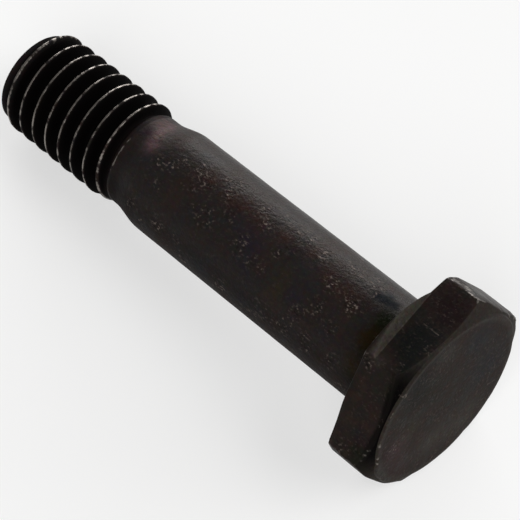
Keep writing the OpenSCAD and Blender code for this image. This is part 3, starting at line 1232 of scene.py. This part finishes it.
    def scratched(self, add: Adder, place: Socket, start: Vector, end: Vector) -> Socket:
        """Makes a mask of a straight scratch.

        Args:
            add: The function that adds a node to the material.
            place: The place on the piece.
            start: One end of the scratch, in metres.
            end: Its other end.

        Returns:
            A socket that is 0.25 in the scratch and 0 away from it.
        """
        run = end - start
        gap = add(Kind.VECTOR, {"operation": "SUBTRACT", 1: start}, {0: place})["Vector"]
        part = add(Kind.VECTOR, {"operation": "DOT_PRODUCT", 1: run / run.length_squared}, {0: gap})["Value"]
        part = add(Kind.CLAMP, {}, {"Value": part})["Result"]
        near = add(Kind.VECTOR, {"operation": "SCALE", 0: run}, {"Scale": part})["Vector"]
        away = add(Kind.VECTOR, {"operation": "DISTANCE"}, {0: gap, 1: near})["Value"]
        width = self.scratch_mm * MM
        fade = {"From Min": width, "From Max": 0.3 * width, "To Max": 0.25}
        return add(Kind.RANGE, fade, {"Value": away})["Result"]


@dataclass(frozen=True)
class WhiteCard:
    """Matt white card, as on a product table: it gives an even pale ground with soft shadows."""

    name: str = "matt_white_card"
    tone: str = "#f7f7f6"
    roughness: float = 0.9
    gloss: float = 0.1
    # Share of plain white that the eye, and mirrors of the card, see besides the lit card with its shadows.
    glow: float = 0.5

    def material(self) -> bpy.types.Material:
        """Makes the card as a node material.

        Returns:
            The material.
        """
        made, add = empty_material(self.name)
        card = add(
            Kind.PRINCIPLED,
            {"Base Color": linear(self.tone), "Roughness": self.roughness, "Specular IOR Level": self.gloss},
        )["BSDF"]
        white = add(Kind.EMISSION, {"Color": (1, 1, 1, 1), "Strength": 1.0})["Emission"]
        ray = add(Kind.RAY)
        seen = ray["Is Camera Ray"]
        for other in ("Is Glossy Ray", "Is Transmission Ray"):
            seen = add(Kind.MATH, {"operation": "MAXIMUM"}, {0: seen, 1: ray[other]})[0]
        seen = add(Kind.MATH, {"operation": "MULTIPLY", 1: self.glow}, {0: seen})[0]
        ground = add(Kind.BLEND, {}, {0: seen, 1: card, 2: white})["Shader"]
        add(Kind.OUTPUT, {}, {"Surface": ground})
        return made


@dataclass
class Bolt:
    """The whole bolt, built upright and laid down as it rests."""

    thread: Thread = field(default_factory=Thread)
    shank: Shank = field(default_factory=Shank)
    head: Head = field(default_factory=Head)
    finish: BlackOxideSteel = BlackOxideSteel(grit_mm=0.42, grain=3.8, gleam="#ffe9d8")
    # The thread holds oil and dirt, which leave it a deeper black with hardly any gloss; its hollows also get
    # painted shade.
    thread_finish: BlackOxideSteel = BlackOxideSteel(name="oily_black_oxide_steel", gloss=0.014)
    # The head keeps its forging scale under the oxide, which leaves it grainy and dull.
    head_finish: BlackOxideSteel = BlackOxideSteel(
        name="forged_black_oxide_steel",
        oxide="#221c19",
        oxide_brown="#281f1b",
        oxide_blue="#1f1e1b",
        gloss=0.029,
        cloud_mm=1.3,
        grain=1.4,
        film=0.34,
    )
    columns: int = 288
    corner_draw: float = 0.8
    forged: Waves = Waves(length=2.6, seed=3)
    fine: Waves = Waves(length=0.8, seed=8)
    fine_share: float = 0.6
    forged_depth: float = 0.012
    front_skin: float = 0.08
    # Step by which the core of the source's thread stays inside its blank.
    core_step: float = 0.02
    stain_limit: float = 1.6
    stains: tuple[Stain, ...] = STAINS
    scars: tuple[Scar, ...] = SCARS
    nicks: tuple[Nick, ...] = NICKS
    scratches: tuple[Scratch, ...] = SCRATCHES
    unseen_seed: int = 5

    def angles(self) -> np.ndarray:
        """Gives the columns' angles, drawn closer together at the corners of the hexagon."""
        even = np.arange(self.columns) * TURN / self.columns
        return even - self.corner_draw * np.sin(6 * (even - math.pi / 6)) / 6

    def tilt(self) -> float:
        """Gives the angle at which the bolt lies, from the head's flat to a thread crest near the point."""
        crest = self.thread.crest_start + self.thread.pitch * (1 - self.thread.crest_share / 2)
        return math.atan((self.head.flat_r - self.thread.crest_r) / (self.head.base - crest))

    def lay_down(self, points: np.ndarray) -> np.ndarray:
        """Turns points from the bolt's own axes into the shared frame.

        Args:
            points: Places in millimetres, with the third value counted along the axis from the point.

        Returns:
            The places in metres.
        """
        tilt = self.tilt()
        cos, sin = math.cos(tilt), math.sin(tilt)
        face_r = self.head.flat_r - self.head.face_inset
        low = -self.head.base * cos - (self.thread.blank_r - self.core_step) * sin
        high = self.head.height * cos + face_r * sin
        x, y, z = points[:, 0], points[:, 1], points[:, 2] - self.head.base
        ahead = x * sin + z * cos - (low + high) / 2
        above = z * sin - x * cos + self.head.flat_r * cos
        return np.stack([ahead, y, above], axis=1) * MM

    def build(self) -> bpy.types.Object:
        """Builds the skin, marks it and makes the piece.

        Returns:
            The finished piece, riding on the bolt's body.
        """
        skin = Skin(self.angles())
        ring = self.thread.build(skin)
        thread_faces = len(skin.faces)
        ring = self.shank.build(skin, ring, self.thread.length)
        shank_faces = len(skin.faces)
        self.head.build(skin, ring, self.shank.shank_r + self.shank.fillet_r)
        points, marks = np.concatenate(skin.points), np.concatenate(skin.marks)
        points, marks, stain = self.weather(points, marks)
        mesh = bpy.data.meshes.new("bolt_skin")
        mesh.from_pydata(self.lay_down(points).tolist(), [], skin.faces)
        mesh.shade_smooth()
        for mark in Mark:
            layer = mesh.attributes.new(mark.label, "FLOAT", "POINT")
            layer.data.foreach_set("value", marks[:, mark].astype(np.float32))
        layer = mesh.attributes.new("stain", "FLOAT_COLOR", "POINT")
        layer.data.foreach_set("color", stain.astype(np.float32).ravel())
        scratches = tuple(
            (*map(Vector, self.lay_down(np.array([mark.start, mark.end]))), mark.bare)
            for mark in self.scratches
        )
        mesh.materials.append(self.thread_finish.material())
        mesh.materials.append(self.finish.material())
        mesh.materials.append(self.head_finish.material(scratches))
        finishes = np.searchsorted((thread_faces, shank_faces), np.arange(len(skin.faces)), side="right")
        mesh.polygons.foreach_set("material_index", finishes.astype(np.int32))
        piece = bpy.data.objects.new("bolt_skin", mesh)
        bpy.context.scene.collection.objects.link(piece)
        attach(piece, "root")
        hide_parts("bolt")
        LOG.info("%s: %d points, %d faces", piece.name, len(mesh.vertices), len(mesh.polygons))
        return piece

    def weather(self, points: np.ndarray, marks: np.ndarray) -> tuple[np.ndarray, np.ndarray, np.ndarray]:
        """Sinks the forged unevenness and the nicks into the skin, and lays the stains on it.

        Args:
            points: The skin's points, in the bolt's own axes.
            marks: Their marks.

        Returns:
            The moved points, the new marks and a stain colour for each point, with its strength as alpha.
        """
        relief = self.forged.at(points) + self.fine_share * self.fine.at(points)
        sink = self.forged_depth * np.clip(0.5 + 0.35 * relief, 0, 1.2)
        around = np.hypot(points[:, 0], points[:, 1])
        pull = np.where(around > 0.5, sink / np.maximum(around, 0.5), 0)
        moved = points.copy()
        moved[:, :2] *= (1 - pull)[:, None]
        front = points[:, 2] > self.head.base + self.head.height - self.front_skin
        moved[front, 2] -= sink[front]
        marks = marks.copy()
        marks[:, Mark.WEAR] *= np.clip(0.85 + 0.3 * self.fine.at(points), 0.3, 1.2)
        for nick in self.nicks:
            share = nick.share(points)
            inside = np.clip(nick.along, 1.0, self.head.base + self.head.height / 2)
            way = np.array([0.0, 0.0, inside]) - nick.place()
            moved += nick.depth * share[:, None] * way / np.linalg.norm(way)
            marks[:, Mark.WEAR] = np.maximum(marks[:, Mark.WEAR], nick.wear * share)
        more_scars, more_stains = unseen_marks(self.unseen_seed)
        for scar in self.scars + more_scars:
            marks[:, Mark.SPECKS] = np.maximum(marks[:, Mark.SPECKS], scar.strength * scar.share(points))
        colour = np.zeros((len(points), 4))
        for stain in self.stains + more_stains:
            share = stain.strength * stain.share(points)
            total = colour[:, 3] + share
            part = np.divide(share, total, out=np.zeros_like(share), where=total > 1e-6)
            tint = np.array(linear(stain.tint.value)[:3])
            colour[:, :3] += part[:, None] * (tint - colour[:, :3])
            colour[:, 3] = np.minimum(total, self.stain_limit)
            marks[:, Mark.MATT] = np.maximum(marks[:, Mark.MATT], stain.dull * stain.share(points))
        return moved, marks, colour


@dataclass(frozen=True)
class Lamp:
    """A rectangular soft lamp that looks at the bolt."""

    name: str
    place: tuple[float, float, float]
    size: tuple[float, float]
    watts: float

    def build(self, target: Vector) -> bpy.types.Object:
        """Makes the lamp.

        Args:
            target: The place that it looks at, in metres.

        Returns:
            The lamp's object.
        """
        data = bpy.data.lights.new(self.name, "AREA")
        data.shape = "RECTANGLE"
        data.size, data.size_y = self.size
        data.energy = self.watts
        lamp = bpy.data.objects.new(self.name, data)
        lamp.location = self.place
        lamp.rotation_euler = (target - Vector(self.place)).to_track_quat("-Z", "Y").to_euler()
        bpy.context.scene.collection.objects.link(lamp)
        LOG.info("%s: %.2f W", self.name, self.watts)
        return lamp


@dataclass
class Studio:
    """A white table under soft lamps, and the camera at the photograph's angle."""

    floor_m: float = 4.0
    card: WhiteCard = field(default_factory=WhiteCard)
    air: float = 0.2
    lamps: tuple[Lamp, ...] = (
        Lamp("back_panel", (-0.67, 1.09, 0.25), (1.5, 0.46), 16.5),
        Lamp("key_panel", (0.85, 0.5, 1.0), (1.0, 1.0), 10.5),
        Lamp("fill_panel", (0.5, -0.9, 0.9), (0.9, 0.9), 9.0),
    )
    eye: tuple[float, float, float] = (0.0743, -0.0667, 0.16492)
    right: tuple[float, float, float] = (0.7064, 0.7076, -0.019)
    down: tuple[float, float, float] = (0.597, -0.61, -0.5211)
    aim: tuple[float, float, float] = (0.0, 0.0, 0.006)
    lens_mm: float = 158.68
    sensor_mm: float = 36.0
    nearest_m: float = 0.01

    def build(self) -> None:
        """Makes the floor, the light and the camera."""
        half = self.floor_m / 2
        mesh = bpy.data.meshes.new("floor")
        corners = [(-half, -half, 0), (half, -half, 0), (half, half, 0), (-half, half, 0)]
        mesh.from_pydata(corners, [], [(0, 1, 2, 3)])
        mesh.materials.append(self.card.material())
        floor = bpy.data.objects.new("floor", mesh)
        bpy.context.scene.collection.objects.link(floor)
        world = bpy.data.worlds.new("soft_air")
        world.use_nodes = True
        air = world.node_tree.nodes["Background"].inputs
        air["Color"].default_value = (1, 1, 1, 1)
        air["Strength"].default_value = self.air
        bpy.context.scene.world = world
        for lamp in self.lamps:
            lamp.build(Vector(self.aim))
        self.camera()

    def camera(self) -> None:
        """Makes the camera and sets it as the scene's."""
        data = bpy.data.cameras.new("camera")
        data.sensor_fit = "HORIZONTAL"
        data.sensor_width = self.sensor_mm
        data.lens = self.lens_mm
        data.clip_start = self.nearest_m
        camera = bpy.data.objects.new("camera", data)
        right = Vector(self.right).normalized()
        up = -Vector(self.down)
        up = (up - up.dot(right) * right).normalized()
        turn = Matrix((right, up, right.cross(up))).transposed().to_4x4()
        camera.matrix_world = Matrix.Translation(self.eye) @ turn
        bpy.context.scene.collection.objects.link(camera)
        bpy.context.scene.camera = camera


def main() -> None:
    """Builds the bolt and the studio."""
    logging.basicConfig(level=logging.INFO, format="%(name)s %(message)s")
    bpy.context.scene.view_settings.view_transform = "Standard"
    Bolt().build()
    Studio().build()


if __name__ == "__main__":
    main()
